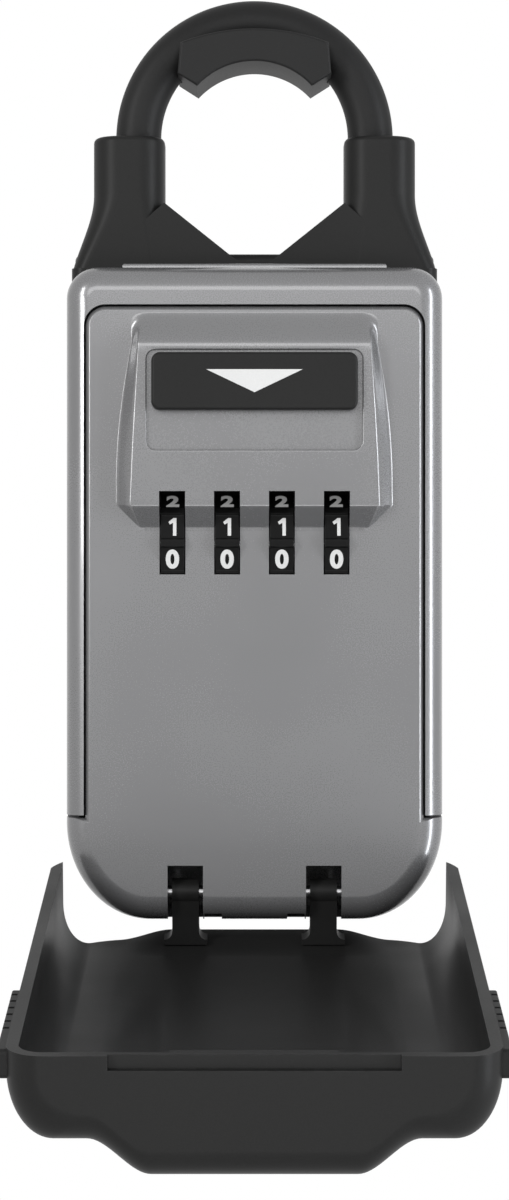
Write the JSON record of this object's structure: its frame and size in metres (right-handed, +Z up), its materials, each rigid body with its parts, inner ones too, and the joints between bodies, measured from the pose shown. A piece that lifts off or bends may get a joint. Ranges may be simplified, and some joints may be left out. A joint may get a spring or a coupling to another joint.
{
  "type": "combination key safe",
  "caption": "Portable combination key safe that hangs by its shackle: drop-down door with number wheels and a push-down opener, hinged weather cover.",
  "frame": {"origin": "hang point: underside of the shackle's bumper pad, at the middle of the shackle", "axes": "+Z up towards the shackle's crown, -Y towards the door's front, +X to the right of someone who faces the door"},
  "size_m": [0.092, 0.1799, 0.2384],
  "materials": {
    "silver_paint": "satin silver paint on a zinc casting",
    "zinc": "plain zinc, dull",
    "steel": "plated steel",
    "black_plastic": "black plastic, fine grain",
    "black_rubber": "black rubber coating",
    "wheel_black": "glossy black plastic with white digits",
    "white_mark": "white plastic inlay"
  },
  "bodies": {
    "case": {"case_shell": "silver_paint", "shackle_base": "black_plastic", "base_screw_1": "steel", "base_screw_2": "steel", "lock_guide_screw_1": "steel", "lock_guide_screw_2": "steel", "hinge_pin": "steel"},
    "door": {"door_shell": "silver_paint", "mechanism_plate": "zinc", "plate_screw_1": "steel", "plate_screw_2": "steel", "plate_screw_3": "steel", "plate_screw_4": "steel", "wheel_axle": "steel", "detent_spring": "steel", "reset_pivot": "steel", "opener_spring": "steel", "latch_spring": "steel"},
    "opener": {"opener_button": "black_plastic", "opener_arrow": "white_mark", "opener_carrier": "zinc"},
    "latch": {"latch_bolt": "steel"},
    "lever": {"reset_lever": "zinc"},
    "cover": {"weather_cover": "black_plastic", "cover_grip_left": "black_rubber", "cover_grip_right": "black_rubber"},
    "hanger": {"shackle": "black_rubber", "shackle_bumper": "black_rubber"},
    "lock_slide": {"shackle_lock": "zinc"},
    "wheel_1": {"dial_wheel_1": "wheel_black", "code_hub_1": "zinc"},
    "wheel_2": {"dial_wheel_2": "wheel_black", "code_hub_2": "zinc"},
    "wheel_3": {"dial_wheel_3": "wheel_black", "code_hub_3": "zinc"},
    "wheel_4": {"dial_wheel_4": "wheel_black", "code_hub_4": "zinc"}
  },
  "joints": [
    {"name": "door_hinge", "type": "hinge", "parent": "case", "child": "door", "pos_m": [0, -0.017, -0.185], "axis": [1, 0, 0], "range_deg": [0, 90]},
    {"name": "cover_hinge", "type": "hinge", "parent": "case", "child": "cover", "pos_m": [0, -0.017, -0.185], "axis": [1, 0, 0], "range_deg": [-99.5, 0]},
    {"name": "opener_slide", "type": "slide", "parent": "door", "child": "opener", "axis": [0, 0, -1], "range_m": [0, 0.008], "stiffness_N_per_m": 150, "springref_m": -0.006, "deforming": ["opener_spring"]},
    {"name": "latch_slide", "type": "slide", "parent": "door", "child": "latch", "axis": [0, 0, 1], "range_m": [0, 0.003], "deforming": ["latch_spring"]},
    {"name": "lever_turn", "type": "hinge", "parent": "door", "child": "lever", "pos_m": [0.0215, 0.0034, -0.0865], "axis": [0, 1, 0], "range_deg": [-75, 0]},
    {"name": "shackle_slide", "type": "slide", "parent": "case", "child": "hanger", "axis": [0, 0, 1], "range_m": [0, 0.045]},
    {"name": "lock_slide_x", "type": "slide", "parent": "case", "child": "lock_slide", "axis": [1, 0, 0], "range_m": [0, 0.0037]},
    {"name": "wheel_1_turn", "type": "hinge", "parent": "door", "child": "wheel_1", "pos_m": [-0.018, -0.0115, -0.108], "axis": [1, 0, 0], "continuous": true},
    {"name": "wheel_2_turn", "type": "hinge", "parent": "door", "child": "wheel_2", "pos_m": [-0.006, -0.0115, -0.108], "axis": [1, 0, 0], "continuous": true},
    {"name": "wheel_3_turn", "type": "hinge", "parent": "door", "child": "wheel_3", "pos_m": [0.006, -0.0115, -0.108], "axis": [1, 0, 0], "continuous": true},
    {"name": "wheel_4_turn", "type": "hinge", "parent": "door", "child": "wheel_4", "pos_m": [0.018, -0.0115, -0.108], "axis": [1, 0, 0], "continuous": true}
  ]
}
